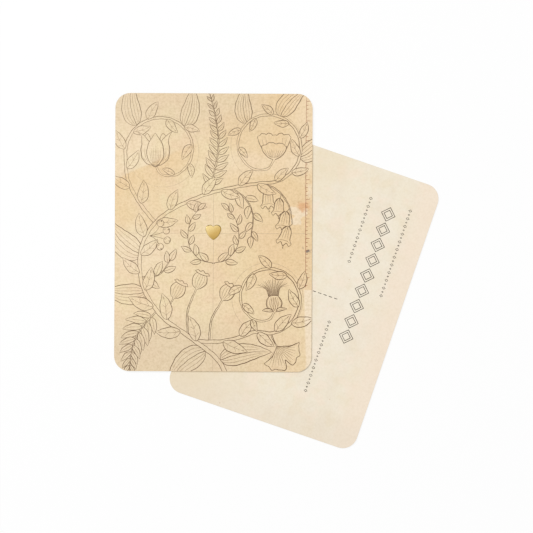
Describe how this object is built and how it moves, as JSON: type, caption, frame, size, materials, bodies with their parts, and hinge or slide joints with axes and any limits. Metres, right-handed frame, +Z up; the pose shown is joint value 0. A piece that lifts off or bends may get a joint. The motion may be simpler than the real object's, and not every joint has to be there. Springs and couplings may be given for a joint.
{
  "type": "postcard",
  "caption": "Round-cornered postcards laid in a fan, a picture side up over an address side, each a pasted board with printed faces and a stamped foil heart.",
  "frame": {"origin": "centre of the lower card's underside, on the table it lies on", "axes": "+Z up from the table, +Y along the upper card's long side to the heart's top, +X to its right"},
  "size_m": [0.1722, 0.1885, 0.001],
  "materials": {
    "picture_print": "matt aged print",
    "address_print": "matt cream print",
    "cover_paper": "uncoated, smooth",
    "core_board": "uncoated, fibrous",
    "paste": "dried starch paste",
    "gold_foil": "satin gold"
  },
  "bodies": {
    "lower_card": {"lower_address_print": "address_print", "lower_address_sheet": "cover_paper", "lower_address_paste": "paste", "lower_core_board": "core_board", "lower_picture_paste": "paste", "lower_picture_sheet": "cover_paper", "lower_picture_print": "picture_print", "lower_foil_heart": "gold_foil"},
    "upper_card": {"upper_address_print": "address_print", "upper_address_sheet": "cover_paper", "upper_address_paste": "paste", "upper_core_board": "core_board", "upper_picture_paste": "paste", "upper_picture_sheet": "cover_paper", "upper_picture_print": "picture_print", "upper_foil_heart": "gold_foil"}
  },
  "joints": [
    {"name": "card_lift", "type": "slide", "parent": "lower_card", "child": "upper_card", "axis": [0, 0, 1], "range_m": [0, 0.1]}
  ]
}
